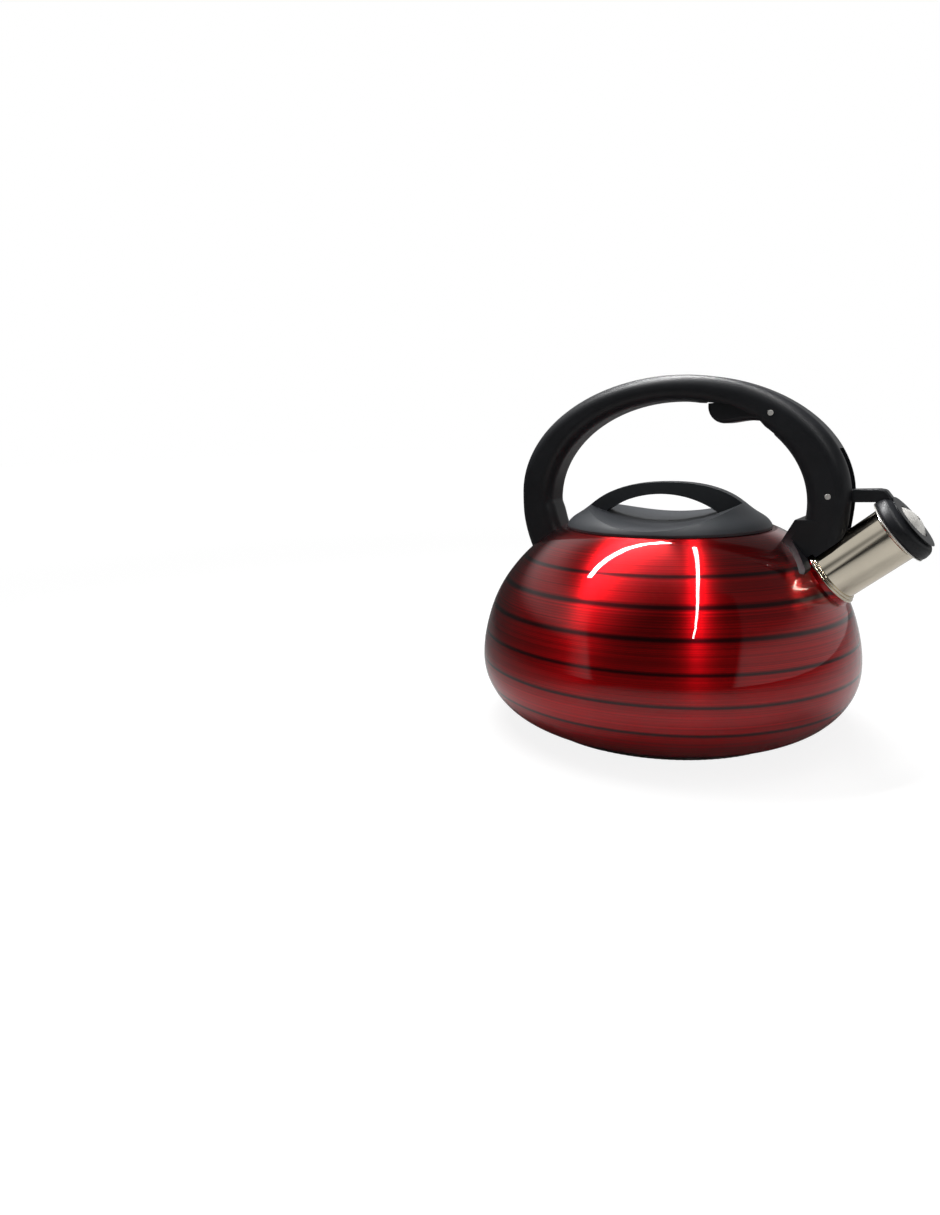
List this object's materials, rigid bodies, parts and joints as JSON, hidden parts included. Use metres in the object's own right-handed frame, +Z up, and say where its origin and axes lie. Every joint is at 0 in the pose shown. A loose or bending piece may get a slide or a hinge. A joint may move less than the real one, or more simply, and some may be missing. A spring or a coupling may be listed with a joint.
{
  "type": "stovetop whistling kettle",
  "caption": "Round stovetop kettle with an arched handle, lift-off lid, and a slanted spout whose whistling cap opens by a trigger under the handle.",
  "frame": {"origin": "centre of the base's underside, where the kettle stands on the hob", "axes": "+X towards the spout, in the plane of the handle; +Z up; +Y completes the right-handed frame"},
  "size_m": [0.249, 0.2202, 0.202],
  "materials": {
    "red_lacquer": "translucent red lacquer over brushed steel",
    "brushed_steel": "brushed",
    "polished_steel": "polished",
    "spring_steel": "drawn wire",
    "aluminium_core": "cast",
    "black_plastic": "fine satin",
    "charcoal_plastic": "fine matte grain",
    "silicone": "matte"
  },
  "bodies": {
    "kettle": {"body_shell": "red_lacquer", "base_pan": "brushed_steel", "heat_disc": "aluminium_core", "spout_sleeve": "polished_steel", "handle": "black_plastic", "front_bracket": "brushed_steel", "rear_bracket": "brushed_steel", "front_screw": "brushed_steel", "rear_screw": "brushed_steel", "trigger_pin": "polished_steel", "lever_pin": "polished_steel", "return_spring": "spring_steel"},
    "trigger": {"trigger": "black_plastic"},
    "link": {"link_rod": "spring_steel"},
    "cap": {"cap_lever": "black_plastic", "whistle_cup": "polished_steel", "whistle_inner_disc": "brushed_steel", "whistle_outer_disc": "polished_steel"},
    "lid": {"lid_cover": "charcoal_plastic", "lid_pan": "brushed_steel", "lid_gasket": "silicone", "lid_screw_rear": "brushed_steel", "lid_screw_front": "brushed_steel"}
  },
  "joints": [
    {"name": "trigger_hinge", "type": "hinge", "parent": "kettle", "child": "trigger", "pos_m": [0.0593, 0, 0.1794], "axis": [0, 1, 0], "range_deg": [0, 16], "stiffness_Nm_per_rad": 0.12, "springref_deg": -14.32, "deforming": ["return_spring"]},
    {"name": "cap_hinge", "type": "hinge", "parent": "kettle", "child": "cap", "pos_m": [0.0902, 0, 0.1364], "axis": [0, -1, 0], "range_deg": [0, 36]},
    {"name": "rod_hinge", "type": "hinge", "parent": "trigger", "child": "link", "pos_m": [0.074, 0, 0.1715], "axis": [0, 1, 0], "range_deg": [-22, 0]},
    {"name": "lid_lift", "type": "slide", "parent": "kettle", "child": "lid", "axis": [0, 0, 1], "range_m": [0, 0.024]}
  ],
  "couplings": [
    {"joint": "cap_hinge", "follows": "trigger_hinge", "ratio": 2.2251},
    {"joint": "rod_hinge", "follows": "trigger_hinge", "ratio": -1.3396}
  ]
}
